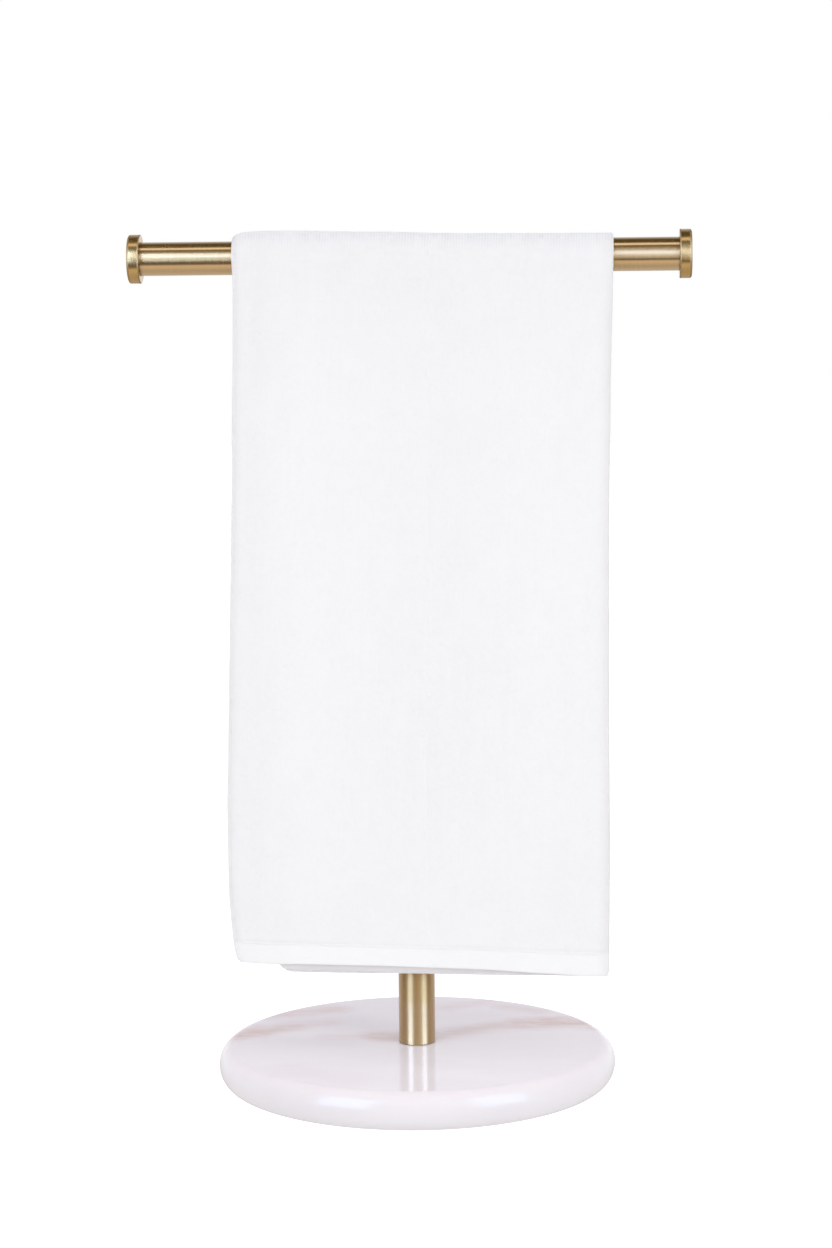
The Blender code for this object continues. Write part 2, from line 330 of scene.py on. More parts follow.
def mounds(table, x, drop):
    """The sum of a table's soft mounds and hollows at places on a panel."""
    total = np.zeros(np.broadcast(x, drop).shape)
    for middle, level, half_width, half_drop, slant, height in table:
        aside = (x - middle - slant * (drop - level)) / half_width
        down = (drop - level) / half_drop
        total += height * np.exp(-(aside**2 + down**4) / 2)
    return total * smooth(drop / CREASE_START)


def middle_row(panel, place, ply, share):
    """One row of the sheet's middle surface, and its thickness before the edges are rounded.

    place is the angle over the bar, or an array of shares of the drop, one for each
    station; ply and share are arrays that say where each station lies on the hairpin.
    """
    down = np.zeros(len(share)) if panel == OVER else np.broadcast_to(place, len(share))
    outer_x, inner_x, fold_x = (read(EDGES, number, down) for number in (1, 2, 3))

    def layer(width, side):
        drop = down * full_drop(width, side, panel)
        off = stand_off(width, side, panel, place, drop)
        return drop, off

    ones = np.ones(len(share))
    fold_drop, fold_outer = layer(ones, OUTER)
    fold_inner = layer(ones, INNER)[1]
    thick = OVER_BAR_THICKNESS + (HANGING_THICKNESS - OVER_BAR_THICKNESS) * flare(panel, place, fold_drop)
    radius = (fold_outer - fold_inner) / 2
    centre = fold_x - thick / 2 - radius

    start = np.where(ply == OUTER, outer_x, inner_x)
    x = np.where(ply == FOLD, centre + radius * np.sin(share), start + (centre - start) * share)
    width = np.where(ply == FOLD, 1.0, (x - outer_x) / (centre - outer_x))
    outer_drop, outer_off = layer(width, OUTER)
    inner_drop, inner_off = layer(width, INNER)
    round_fold = (fold_outer + fold_inner) / 2 + radius * np.cos(share)
    drop = np.choose(ply, (outer_drop, fold_drop, inner_drop))
    off = np.choose(ply, (outer_off, round_fold, inner_off))

    if panel == OVER:
        reach = BAR_RADIUS + off
        y, z = -reach * np.cos(place), BAR_AXIS + reach * np.sin(place)
    else:
        seen_x = x if panel == FRONT else -x
        reach = BAR_RADIUS + off + mounds(CREASES, seen_x, drop) * np.where(ply == INNER, INNER_CREASE, 1.0)
        y, z = (-reach if panel == FRONT else reach), BAR_AXIS - drop
    return np.stack((x, y, z), axis=-1), thick


def rows_of(panel, zone, values):
    """Rows of a grid, each (panel, zone, value): an angle over the bar, or a share of the zone's drop."""
    return [(panel, zone, value) for value in values]


def whole_rows(terry, over, hem):
    """Rows from the front hem's edge over the bar to the back hem's edge."""
    front = rows_of(FRONT, "hem", hem[::-1]) + rows_of(FRONT, "terry", terry[::-1])
    return front + rows_of(OVER, "over", over) + rows_of(BACK, "terry", terry) + rows_of(BACK, "hem", hem)


def is_hem(to_edge, width):
    """Whether a place lies in the hem, at its distance up from the hem's edge."""
    return to_edge < read(HEM, 1, width) - HEM_MARGIN


def place_of(row, ply, width):
    """A row's place on its panel for each station, and the distance left to the hem's edge."""
    panel, zone, value = row
    if panel == OVER:
        return value, np.full(len(width), 1.0)
    full = np.where(ply == INNER, full_drop(width, INNER, panel), full_drop(width, OUTER, panel))
    hem = read(HEM, 1, width)
    if zone == "terry":
        place = value * (1.0 - hem / full)
    else:
        place = 1.0 - hem * (1.0 - value) / full
    return place, (1.0 - place) * full


def surface_grid(rows, ply, share, width):
    """Middle points, outward directions, thickness and distance to the hem's edge, row by row."""
    made = []
    for row in rows:
        place, to_edge = place_of(row, ply, width)
        points, thickness = middle_row(row[0], place, ply, share)
        made.append((points, np.where(is_hem(to_edge, width), HEM_THICKNESS, thickness), to_edge))
    middle, thick, left = (np.array(grid) for grid in zip(*made))
    along, across = np.gradient(middle, axis=(0, 1))
    outward = unit(np.cross(unit(across), unit(along)))
    return middle, outward, thick, left


def below_crest(middle):
    """Each point's depth below the highest point of its column."""
    return np.max(middle[..., 2], axis=0) - middle[..., 2]


def fading(painted_shading_and_tone, distance, power=1):
    """A painted shade's or painted light's change at a distance from where it is strongest."""
    change, reach = painted_shading_and_tone
    return change * np.exp(-(distance / reach)**power)


def painted_shading_of(rows, middle, ply, width, to_hem_edge):
    """The cloth's painted shade and painted light at each point of a grid, as a factor for its colour."""
    panel = np.array([row[0] for row in rows])[:, None]
    x = np.where(panel == BACK, -middle[..., 0], middle[..., 0])
    drop = np.maximum(BAR_AXIS - middle[..., 2], 0.0)
    from_selvage = middle[..., 0] - middle[:, :1, 0]
    from_fold = np.max(middle[..., 0], axis=1, keepdims=True) - middle[..., 0]
    over_hem = to_hem_edge - read(HEM, 1, width) - HEM_LINE_RAISED
    grown = SELVAGE_PAINTED_SHADE_AT_BAR + (1.0 - SELVAGE_PAINTED_SHADE_AT_BAR) * smooth(drop / SELVAGE_PAINTED_SHADE_GROWS)
    painted_shading_and_tone = 1.0 + mounds(PAINTED_CREASE_SHADING, x, drop)
    painted_shading_and_tone += grown * (fading(SELVAGE_PAINTED_SHADE, from_selvage, 2) + fading(FOLD_PAINTED_SHADE, from_fold, 2))
    painted_shading_and_tone += fading(CREST_PAINTED_LIGHT, below_crest(middle)) + fading(UNDER_BAR_PAINTED_SHADE, drop)
    painted_shading_and_tone += fading(HEM_LINE_PAINTED_SHADE, over_hem, 2)
    change, full, none = INNER_HEM_PAINTED_SHADE
    return painted_shading_and_tone + change * (ply == INNER) * (1.0 - smooth((to_hem_edge - full) / (none - full)))


def arc_length(points, axis):
    """Each point's distance along its row or column of a grid."""
    steps = np.linalg.norm(np.diff(points, axis=axis), axis=-1)
    zero = np.zeros_like(np.take(steps, [0], axis=axis))
    return np.concatenate((zero, np.cumsum(steps, axis=axis)), axis=axis)


def grid_uvs(middle):
    """Metres across and along the cloth, for the weave."""
    return np.stack((arc_length(middle, 1), arc_length(middle, 0)), axis=-1)


# ---------------- the sheet

EDGE_STEPS = (0.0, 0.10, 0.28, 0.55, 1.0)     # distances from a free edge, in half thicknesses
RIM_SHARE = 0.30                              # of the thickness left at the very edge
OUTER_STATIONS = 84
FOLD_STATIONS = 10
INNER_STATIONS = 56
TERRY_ROWS = 100
OVER_ROWS = 36
HEM_ROWS = 10
HEM_FIRST_ROW = 0.02           # share of the hem's height
TERRY_FIRST_ROW = 0.004        # shares of the way from the bar to the hem
TERRY_LAST_ROWS = (0.985, 0.997)
PILED_FROM = 0.8 * SELVAGE     # further in than this the ground cloth makes room for the pile


def rounded(distance, thickness):
    """The thickness left at a distance from a free edge that is rounded to half the thickness."""
    inward = np.clip(1.0 - distance / (thickness / 2), 0.0, 1.0)
    return thickness * np.maximum(np.sqrt(1.0 - inward**2), RIM_SHARE)


def joined(outer, fold, inner):
    """One array over the outer ply, the fold and the inner ply."""
    return np.concatenate((outer, fold, inner))


def plies(outer, fold, inner):
    """Which ply each station is on."""
    return joined(np.full(len(outer), OUTER), np.full(len(fold), FOLD), np.full(len(inner), INNER))


def width_of(side, share):
    """Where a share of a ply's own width lies on the folded towel's width."""
    return share if side == OUTER else 1.0 + (share - 1.0) * INNER_WIDTH / OUTER_WIDTH


def sheet_stations():
    """ply, share and rough width for each station of the sheet, and its distance to the free edge."""
    near_edge = np.array(EDGE_STEPS) * (HANGING_THICKNESS / 2)
    start = (near_edge[-1] + SELVAGE / 2) / OUTER_WIDTH
    even = start + np.linspace(0, 1, OUTER_STATIONS)[:-1] * (1 - start)
    outer = np.concatenate((near_edge / OUTER_WIDTH, even, [1.0]))
    fold = np.linspace(0, math.pi, FOLD_STATIONS + 2)[1:-1]
    even = np.linspace(near_edge[-1] / INNER_WIDTH, 1, INNER_STATIONS)[1:]
    inner = np.concatenate((near_edge / INNER_WIDTH, even))[::-1]
    ones = np.ones(len(fold))
    width = joined(outer, ones, width_of(INNER, inner))
    to_edge = joined(outer * OUTER_WIDTH, ones, inner * INNER_WIDTH)
    return plies(outer, fold, inner), joined(outer, fold, inner), width, to_edge


def sheet_faces(row_count, station_count):
    """Quads of both skins and of the rim that joins them; the far skin's points come second."""
    index = numbered(row_count, station_count)
    quads = grid_quads(index)
    rim = np.concatenate((index[0, :-1], index[:-1, -1], index[-1, :0:-1], index[:0:-1, 0]))
    edge = closed_quads(np.stack((rim, rim + index.size)))
    return quads[:, (0, 3, 2, 1)], quads + index.size, edge


def sheet_rows():
    """The sheet's rows, closer together at the hems' edges."""
    near_edge = HEM_THICKNESS / 2 / HEM_AT_EDGE
    hem = np.concatenate((np.linspace(HEM_FIRST_ROW, 1 - near_edge, HEM_ROWS),
                          1 - np.array(EDGE_STEPS[-2::-1]) * near_edge))
    even_to, last = TERRY_LAST_ROWS
    terry = np.concatenate((np.linspace(TERRY_FIRST_ROW, even_to, TERRY_ROWS), [last]))
    return whole_rows(terry, np.linspace(0, math.pi, OVER_ROWS), hem)


def make_sheet(terry, woven):
    """The ground cloth and the woven hems, as one closed sheet with rounded edges."""
    ply, share, width, to_free_edge = sheet_stations()
    rows = sheet_rows()
    middle, outward, thick, left = surface_grid(rows, ply, share, width)

    in_hem = is_hem(left, width)
    shape = np.minimum(rounded(left, HEM_THICKNESS) / HEM_THICKNESS,
                       rounded(to_free_edge, HANGING_THICKNESS)[None, :] / HANGING_THICKNESS)
    piled = ~in_hem & (to_free_edge[None, :] > PILED_FROM) & (ply != INNER)
    outside = np.where(piled, thick / 2 - PILE_HEIGHT, np.minimum(thick, HEM_THICKNESS) / 2) * shape
    skins = (middle - outward * (thick / 2 * shape)[..., None], middle + outward * outside[..., None])
    faces = sheet_faces(*middle.shape[:2])
    hem_quads = (in_hem[:-1, :-1] & in_hem[1:, 1:]).reshape(-1)
    slots = np.concatenate((hem_quads, hem_quads, np.ones(len(faces[2]), bool)))
    cloth = mesh_object("towel_cloth", skins, faces, [terry, woven], [grid_uvs(middle)] * 2, slots)
    add_painted_shading(cloth, [painted_shading_of(rows, middle, ply, width, left)] * 2)
    return cloth


# ---------------- the pile

PILE_VALLEY = 0.10 * MM        # height of the furrows between the columns of loops
LOOP_DIP = 0.62                # of the pile's height, between the loops of one column
LOOP_LEAN = 0.20               # of half the spacing, how far a loop leans aside
LOOP_UNEVEN = 0.14             # of the pile's height
LOOP_LIMITS = (0.5, 1.5)       # shares of it that a loop keeps to
VALLEY_LIMITS = (0.2, 1.8)
# Patches of higher and lower pile.
PILE_PATCHES = (
    # strength  rows  columns
    (0.07, 46, 6),
    (0.05, 12, 10),
)
PILE_OVER_BAR = 1.10           # the pile stands up where the cloth bends over the bar
TUCK = 0.06 * MM               # how far the pile's border reaches into the cloth
FURROW_PAINTED_SHADE = -0.012           # painted shade between the columns of loops
FURROW_PAINTED_SHADE_ON_CREST = -0.080  # the same painted shade at the towel's top, where the columns part
FURROWS_FADE = 5.5 * MM        # depth over which they fade below the crest
STREAKS = 0.0012               # uneven lightness from column to column
STREAK_CELL = (44, 1.5)        # rows and columns
# How the furrows and the streaks come and go.
FURROW_PATCHES = (0.5, (6, 3), 2.0)      # strength, rows and columns, most
STREAK_PATCHES = (1.2, (130, 24), 3.0)
LEAST_IN_PATCH = 0.2
PILE_FOLD_LENGTH = math.pi * 2.0 * MM    # rough length of the pile round the fold
STANDS_OFF = 4.0 * MM                    # roughly how far the pile lies off the bar


def pile_stations():
    """ply, share and rough width: furrows at even places, loops at odd ones."""
    outer_count = 2 * round((OUTER_WIDTH - SELVAGE) / LOOP_ACROSS)
    fold_count = 2 * round(PILE_FOLD_LENGTH / LOOP_ACROSS)
    inner_count = 2 * round(PILE_ON_INNER_PLY / LOOP_ACROSS)
    outer = np.linspace(SELVAGE / OUTER_WIDTH, 1, outer_count + 1)
    fold = np.linspace(0, math.pi, fold_count + 1)[1:-1]
    inner = 1 - np.linspace(0, PILE_ON_INNER_PLY / INNER_WIDTH, inner_count + 1)
    return plies(outer, fold, inner), joined(outer, fold, inner), joined(outer, np.ones(len(fold)), inner)


def pile_rows():
    """The front's and the back's rows from hem to hem, two for each row of loops."""
    terry = np.linspace(1, 0, 2 * round((ROUGH_DROP - HEM_AT_MIDDLE) / LOOP_ALONG) + 1)

    def over(start, end):
        count = 2 * round((end - start) * (BAR_RADIUS + STANDS_OFF) / LOOP_ALONG)
        return rows_of(OVER, "over", np.linspace(start, end, count + 1))

    front = rows_of(FRONT, "terry", terry[:-1]) + over(0, PILE_SEAM_ANGLE)
    back = over(PILE_SEAM_ANGLE, math.pi) + rows_of(BACK, "terry", terry[-2::-1])
    return front, back


def soft_noise(shape, cell, draw):
    """Smooth noise of about unit size over a grid, with one random value for each cell."""
    down = np.linspace(0, shape[0] / cell[0], shape[0])
    across = np.linspace(0, shape[1] / cell[1], shape[1])
    values = draw.normal(0, 1, (int(down[-1]) + 2, int(across[-1]) + 2))
    i, j = down.astype(int), across.astype(int)
    s, t = smooth(down - i)[:, None], smooth(across - j)[None, :]
    above = values[np.ix_(i, j)] * (1 - t) + values[np.ix_(i, j + 1)] * t
    below = values[np.ix_(i + 1, j)] * (1 - t) + values[np.ix_(i + 1, j + 1)] * t
    return above * (1 - s) + below * s


def pile_heights(rows, shape, draw):
    """Height of each point of the pile above the ground cloth."""
    loops = (np.arange(shape[1]) % 2 == 1)[None, :]
    peaks = (np.arange(shape[0]) % 2 == 1)[:, None]
    over = np.array([row[0] == OVER for row in rows])[:, None]
    uneven = 1.0 + draw.normal(0, LOOP_UNEVEN, shape)
    for strength, *cell in PILE_PATCHES:
        uneven += strength * soft_noise(shape, cell, draw)
    tall = PILE_HEIGHT * np.clip(uneven, *LOOP_LIMITS) * np.where(over, PILE_OVER_BAR, 1.0)
    loop_height = tall * np.where(peaks, 1.0, LOOP_DIP)
    return np.where(loops, loop_height, PILE_VALLEY * np.clip(uneven, *VALLEY_LIMITS))


def patches(shape, kind, draw):
    """Shares about one that come and go over a grid."""
    strength, cell, most = kind
    return np.clip(1.0 + strength * soft_noise(shape, cell, draw), LEAST_IN_PATCH, most)


def furrow_shade_and_streaks(middle, draw):
    """Painted shade in the furrows, strongest over the bar, and streaks of uneven lightness along some of the
    columns.
    """
    shape = middle.shape[:2]
    bent = np.exp(-(below_crest(middle) / FURROWS_FADE)**2) * patches(shape, FURROW_PATCHES, draw)
    furrows = (np.arange(shape[1]) % 2 == 0)[None, :]
    streaks = STREAKS * patches(shape, STREAK_PATCHES, draw) * soft_noise(shape, STREAK_CELL, draw)
    return furrows * (FURROW_PAINTED_SHADE + (FURROW_PAINTED_SHADE_ON_CREST - FURROW_PAINTED_SHADE) * bent) + streaks


def make_pile(name, rows, hem_row, terry, draw):
    """Terry loops in columns, as two pieces that meet in a furrow."""
    ply, share, width = pile_stations()
    middle, outward, thick, left = surface_grid(rows, ply, share, width)
    heights = pile_heights(rows, middle.shape[:2], draw)
    along, across = np.gradient(middle, axis=(0, 1))
    leans = draw.normal(0, LOOP_LEAN, (2, *heights.shape, 1)) * (heights[..., None] > PILE_VALLEY * 2)
    heights[:, (0, -1)] = -TUCK
    heights[hem_row] = -TUCK
    points = middle + outward * (thick / 2 - PILE_HEIGHT + heights)[..., None]
    points += across * leans[0] + along * leans[1]
    uvs = grid_uvs(middle)
    painted_shading_and_tones = painted_shading_of(rows, middle, ply, width, left) + furrow_shade_and_streaks(middle, draw)
    split = 2 * (len(share) // 4)
    return [pile_piece(f"{name}_{side}", points[:, columns], uvs[:, columns], painted_shading_and_tones[:, columns], terry)
            for side, columns in (("left", slice(0, split + 1)), ("right", slice(split, None)))]


def pile_piece(name, points, uvs, painted_shading_and_tones, terry):
    piece = mesh_object(name, points, [grid_quads(numbered(*points.shape[:2]))], [terry], uvs)
    add_painted_shading(piece, painted_shading_and_tones)
    return piece


# ---------------- the stitching

THREAD_RADIUS = 0.17 * MM
THREAD_SIDES = 4
THREAD_ENDS = 0.45             # of its radius
OVERCAST_SELVAGE = 1.4 * MM    # spacing of the threads over the free edges
OVERCAST_HEM = 1.2 * MM
HEM_STITCH = 2.3 * MM          # spacing of the running stitches along the hems' tops
HEM_STITCH_BELOW = 0.7 * MM    # how far below the pile they run
BESIDE = 0.1 * MM              # how far beside them the cloth's slope is read
# How far in from the edge an overcast thread's points lie, and how high over the cloth's
# middle all but the first of them.
OVERCAST_INWARDS = (0.0, 0.30 * MM, 1.50 * MM, 2.20 * MM)
OVERCAST_HEIGHTS = (0.62 * MM, 0.78 * MM, 0.50 * MM)
OVERCAST_BEYOND = 0.12 * MM    # how far the first stands out from the edge
# A running stitch's points: share of its spacing, and height over the cloth's middle.
RUNNING = np.array((
    # along  height
    (0.04, 0.50 * MM),
    (0.20, 0.76 * MM),
    (0.50, 0.82 * MM),
    (0.80, 0.76 * MM),
    (0.96, 0.50 * MM),
))
# Where each kind starts and ends, as shares of the way.
SELVAGE_FROM = 0.96            # of the hem's height
HEM_EDGE_SPAN = (0.990, 0.006)
HEM_LINE_SPAN = (0.008, 0.992)
THREADS_STAND_OFF = 2.0 * MM   # roughly how far the cloth's middle lies off the bar


def threads(name, paths, beside, finish):
    """Many short threads as one piece: each has its row of points, and beside is a way across it."""
    ahead = unit(np.gradient(paths, axis=1))
    up = unit(np.cross(ahead, beside[:, None, :]))
    side = np.cross(up, ahead)
    angles = np.linspace(0, math.tau, THREAD_SIDES, endpoint=False)[:, None]
    radii = np.full(paths.shape[1], THREAD_RADIUS)
    radii[[0, -1]] *= THREAD_ENDS
    rings = side[:, :, None] * np.cos(angles) + up[:, :, None] * np.sin(angles)
    points = paths[:, :, None] + rings * radii[:, None, None]
    index = numbered(*points.shape[:3])
    ends = np.concatenate((index[:, 0, ::-1], index[:, -1]))
    return mesh_object(name, points, [closed_quads(index), ends], [finish])


def ply_grid(rows, side, share):
    """Middle points and outward directions at rows and at shares of one ply's own width."""
    return surface_grid(rows, np.full(len(share), side), share, width_of(side, share))[:2]


def overcast_paths(middle, outward):
    """Threads round an edge, from grids of two rows for each stitch, whose columns run in from the edge."""
    inwards = unit(middle[:, 1] - middle[:, 0])
    edge = middle[:, 0] - inwards * OVERCAST_BEYOND
    rise = outward[:, 1:] * np.array(OVERCAST_HEIGHTS)[:, None]
    over, under = middle[:, 1:] + rise, middle[:, 1:] - rise
    turn = (edge[0::2] + edge[1::2]) / 2
    paths = np.concatenate((over[0::2, ::-1], turn[:, None], under[1::2]), axis=1)
    return paths, middle[1::2, 0] - middle[0::2, 0]


def selvage_threads(name, side, finish):
    """The overcast threads along one ply's free edge, from hem to hem."""
    share = np.array(OVERCAST_INWARDS) / (OUTER_WIDTH if side == OUTER else INNER_WIDTH)

    def steps(start, end, length, endpoint=True):
        return np.linspace(start, end, 2 * round(length / OVERCAST_SELVAGE), endpoint)

    hem = steps(SELVAGE_FROM, 0.0, HEM_AT_MIDDLE, False)
    terry = steps(1.0, 0.0, DROPS[0, 1] - HEM_AT_MIDDLE, False)
    over = steps(0.0, math.pi, math.pi * (BAR_RADIUS + THREADS_STAND_OFF))
    grids = ply_grid(whole_rows(terry[::-1], over, hem[::-1]), side, share)
    return threads(name, *overcast_paths(*grids), finish)


def hem_grid(panel, distances, side, share):
    """Middle points and outward directions at distances up from a panel's hem's edge."""
    rows = rows_of(panel, "hem", 1.0 - np.array(distances) / HEM_AT_MIDDLE)
    step = 1 if panel == FRONT else -1
    return [grid[::step] for grid in ply_grid(rows[::step], side, share)]


def hem_edge_threads(name, panel, finish):
    """The overcast threads along the lower edge of a panel's inner ply."""
    share = np.linspace(*HEM_EDGE_SPAN, 2 * round(INNER_WIDTH / OVERCAST_HEM))
    grids = (grid.transpose(1, 0, 2) for grid in hem_grid(panel, OVERCAST_INWARDS, INNER, share))
    return threads(name, *overcast_paths(*grids), finish)


def hem_line_threads(name, panel, finish):
    """The running stitches along the top of a panel's hem, on its outer face."""
    count = round(OUTER_WIDTH / HEM_STITCH)
    along, heights = RUNNING.T
    start, end = HEM_LINE_SPAN
    share = start + ((np.arange(count)[:, None] + along) / count).ravel() * (end - start)
    distance = HEM_AT_MIDDLE - HEM_STITCH_BELOW
    middle, outward = hem_grid(panel, (distance - BESIDE, distance, distance + BESIDE), OUTER, share)
    paths = (middle[1] + outward[1] * np.tile(heights, count)[:, None]).reshape(count, len(RUNNING), 3)
    beside = (middle[2] - middle[0]) * (1 if panel == FRONT else -1)
    return threads(name, paths, beside[2::len(RUNNING)], finish)


def make_stitching(finish):
    """Threads over the free edges, and running stitches along the hems."""
    panels = (("front", FRONT), ("back", BACK))
    made = [selvage_threads("overcast_outer_selvage", OUTER, finish),
            selvage_threads("overcast_inner_selvage", INNER, finish)]
    made += [hem_edge_threads(f"overcast_{name}_hem", panel, finish) for name, panel in panels]
    return made + [hem_line_threads(f"stitches_{name}_hem", panel, finish) for name, panel in panels]


# ---------------- turned pieces

ALONG_X = Matrix(((0, 0, 1), (1, 0, 0), (0, 1, 0)))      # turns Z to X
ALONG_MINUS_X = Matrix(((0, 0, -1), (-1, 0, 0), (0, 1, 0)))
SHARP = math.radians(40)
RIM_STEPS = 40
CAP_EDGE_STEPS = 12
CAP_RELIEF_STEPS = 5
COPE_RINGS = 24                # on the post's top, which is bent to the bar


def arc(centre, radii, start, end, steps):
    """(radius, height) points on an arc of an ellipse, with its angles in degrees from outwards to up."""
    angles = np.radians(np.linspace(start, end, steps + 1))
    points = np.stack((np.cos(angles), np.sin(angles)), axis=-1)
    return (np.array(centre) + np.array(radii) * points).tolist()


def turned(name, profile, segments, finish, turn=None, place=(0, 0, 0), reshape=None):
    """A closed solid turned from a profile that starts and ends on its axis, then turned and placed."""
    radii, heights = np.array(profile[1:-1]).T
    angles = np.linspace(0, math.tau, segments, endpoint=False)
    x, y = radii[:, None] * np.cos(angles), radii[:, None] * np.sin(angles)
    rings = np.stack((x, y, np.broadcast_to(heights[:, None], x.shape)), axis=-1).reshape(-1, 3)
    points = np.concatenate((rings, [(0, 0, profile[0][1]), (0, 0, profile[-1][1])]))
    if reshape is not None:
        points = reshape(points)
    if turn is not None:
        points = points @ np.array(turn).T
    points = points + np.array(place)
    index = numbered(len(radii), segments)
    ahead = np.roll(index, -1, axis=1)
    first, last = np.full(segments, len(rings)), np.full(segments, len(rings) + 1)
    bottom = np.stack((first, ahead[0], index[0]), axis=-1)
    top = np.stack((last, index[-1], ahead[-1]), axis=-1)
    return mesh_object(name, points, [closed_quads(index), bottom, top], [finish], sharp_angle=SHARP)


def make_base(finish):
    flat = BASE_RADIUS - BASE_RIM
    half = BASE_HEIGHT / 2
    across = (0, flat / 2, flat - FLAT_MARGIN)
    profile = [(radius, 0) for radius in across]
    profile += arc((flat, half), (BASE_RIM, half), -90, 90, RIM_STEPS)
    profile += [(radius, BASE_HEIGHT) for radius in across[::-1]]
    return turned("base_marble", profile, BASE_SEGMENTS, finish)


def make_bar(finish):
    inside = BAR_RADIUS - FLAT_MARGIN
    end = BAR_HALF + BAR_INTO_GAP
    profile = [(0, -end), (inside, -end), (BAR_RADIUS, -end + FLAT_MARGIN / 2)]
    profile += [(BAR_RADIUS, end - FLAT_MARGIN / 2), (inside, end), (0, end)]
    return turned("bar_tube", profile, TURNED_SEGMENTS, finish, ALONG_X, (0, 0, BAR_AXIS))


def make_cap(side, finish):
    """A cap whose profile runs from the tube outwards; side is -1 for left and 1 for right."""
    def corner(radius, middle, *angles):
        return arc((CAP_RADIUS - radius, middle), (radius, radius), *angles)

    profile = [(0, 0), (CAP_RADIUS - CAP_RELIEF - FLAT_MARGIN, 0)]
    profile += corner(CAP_RELIEF, CAP_RELIEF, -90, 0, CAP_RELIEF_STEPS)
    profile += corner(CAP_EDGE, CAP_LENGTH - CAP_EDGE, 0, 90, CAP_EDGE_STEPS)
    profile += [(radius, CAP_LENGTH) for radius in (CAP_RADIUS - CAP_EDGE - FLAT_MARGIN, CAP_RADIUS / 2, 0)]
    place = (side * (cap_outer_end - CAP_LENGTH), 0, BAR_AXIS)
    name, turn = ("cap_turned_left", ALONG_MINUS_X) if side < 0 else ("cap_turned_right", ALONG_X)
    return turned(name, profile, TURNED_SEGMENTS, finish, turn, place)


def make_post(finish):
    """The post, coped at its top to the bar that lies in it."""
    foot, top = post_low.z, post_high.z
    profile = [(0, foot), (POST_RADIUS - FLAT_MARGIN, foot), (POST_RADIUS, foot + FLAT_MARGIN)]
    profile += [(POST_RADIUS, top - POST_CHAMFER)]
    profile += [(radius, top) for radius in np.linspace(POST_RADIUS - POST_CHAMFER, 0, COPE_RINGS)]

    def cope(points):
        across = np.clip((BAR_RADIUS + SADDLE_GAP)**2 - points[:, 1]**2, 0, None)
        under_bar = BAR_AXIS - np.sqrt(across)
        points[:, 2] = np.minimum(points[:, 2], under_bar)
        return points

    return turned("post_tube", profile, TURNED_SEGMENTS, finish, reshape=cope)


# ---------------- material building

# What a noise's values lie between, nearly all of them and most of them, and their middle.
NOISE_RANGE = (0.30, 0.70)
FINE_NOISE_RANGE = (0.35, 0.65)
NOISE_MIDDLE = (0.5, 0.5, 0.5)


def wire(socket, value):
    """Sets an input to a value, or links it to another node's output."""
    if isinstance(value, bpy.types.NodeSocket):
        socket.id_data.links.new(value, socket)
    else:
        socket.default_value = value


def set_inputs(node, **values):
    for name, value in values.items():
        wire(node.inputs[name.replace("_", " ")], value)


def add_node(kind, inputs, beside=None, **settings):
    """A new node's outputs; it goes beside another node, or the one its first link comes from."""
    beside = beside or next(value for value in inputs.values() if isinstance(value, bpy.types.NodeSocket))
    made = beside.id_data.nodes.new("ShaderNode" + kind)
    for name, value in settings.items():
        setattr(made, name, value)
    for name, value in inputs.items():
        wire(made.inputs[name], value)
    return made.outputs


def math_node(operation, first, second=0.0, clamp=False):
    return add_node("Math", {0: first, 1: second}, operation=operation, use_clamp=clamp)[0]


def product(*factors):
    return math_node("MULTIPLY", *factors)


def vector_node(operation, first, second, output=0):
    number = 3 if operation == "SCALE" else 1
    return add_node("VectorMath", {0: first, number: second}, operation=operation)[output]


def stretched(place, scales):
    return vector_node("MULTIPLY", place, scales)


def separate(vector):
    """A vector's X, Y and Z."""
    return add_node("SeparateXYZ", {0: vector})


def noise(vector, scale, detail=2.0, roughness=0.5, output="Fac"):
    inputs = {"Vector": vector, "Scale": scale, "Detail": detail, "Roughness": roughness}
    return add_node("TexNoise", inputs)[output]


def ranged(value, low, high, to_low=0.0, to_high=1.0, soft=True):
    """Maps a value between two others, and stops at their ends."""
    inputs = {"Value": value, "From Min": low, "From Max": high, "To Min": to_low, "To Max": to_high}
    return add_node("MapRange", inputs, interpolation_type="SMOOTHSTEP" if soft else "LINEAR")["Result"]


def mix_color(share, first, second, blend="MIX"):
    first, second = ((*color, 1) if isinstance(color, tuple) else color for color in (first, second))
    return add_node("Mix", {0: share, 6: first, 7: second}, data_type="RGBA", blend_type=blend)[2]


def layered(color, layers):
    """A colour with others laid over it in turn, each with its share and how it is blended."""
    for share, *layer in layers:
        color = mix_color(share, color, *layer)
    return color


def bump(height, distance, strength=1.0):
    return add_node("Bump", {"Height": height, "Distance": distance, "Strength": strength})["Normal"]


def texture_place(beside, name="Object"):
    return add_node("TexCoord", {}, beside)[name]


def material(name):
    """A new material and its shader."""
    made = bpy.data.materials.new(name)
    made.use_nodes = True
    return made, made.node_tree.nodes["Principled BSDF"]


# ---------------- brass

BRASS_DEEP = (0.403, 0.267, 0.113)
BRASS_PALE = (0.427, 0.287, 0.123)
BRASS_CLOUD = (0.398, 0.261, 0.107)
CLOUD_RANGE = (0.35, 0.70)
CLOUD_SHARE = 0.30
CLOUD_SCALE = 60
# The brush strokes' two noises: scale, detail and roughness.
STROKES = ((900, 3.0, 0.55), (5200, 3.0, 0.6))
STROKE_STRETCH = 0.02          # of those scales, round the piece
ROUGHNESS_SPREAD = 0.01        # less in the strokes' lows, more in their highs
BRUSHED = {"Metallic": 1.0, "Anisotropic_Rotation": 0.25}
LACQUER = {"Coat_Roughness": 0.12, "Coat_IOR": 1.6}

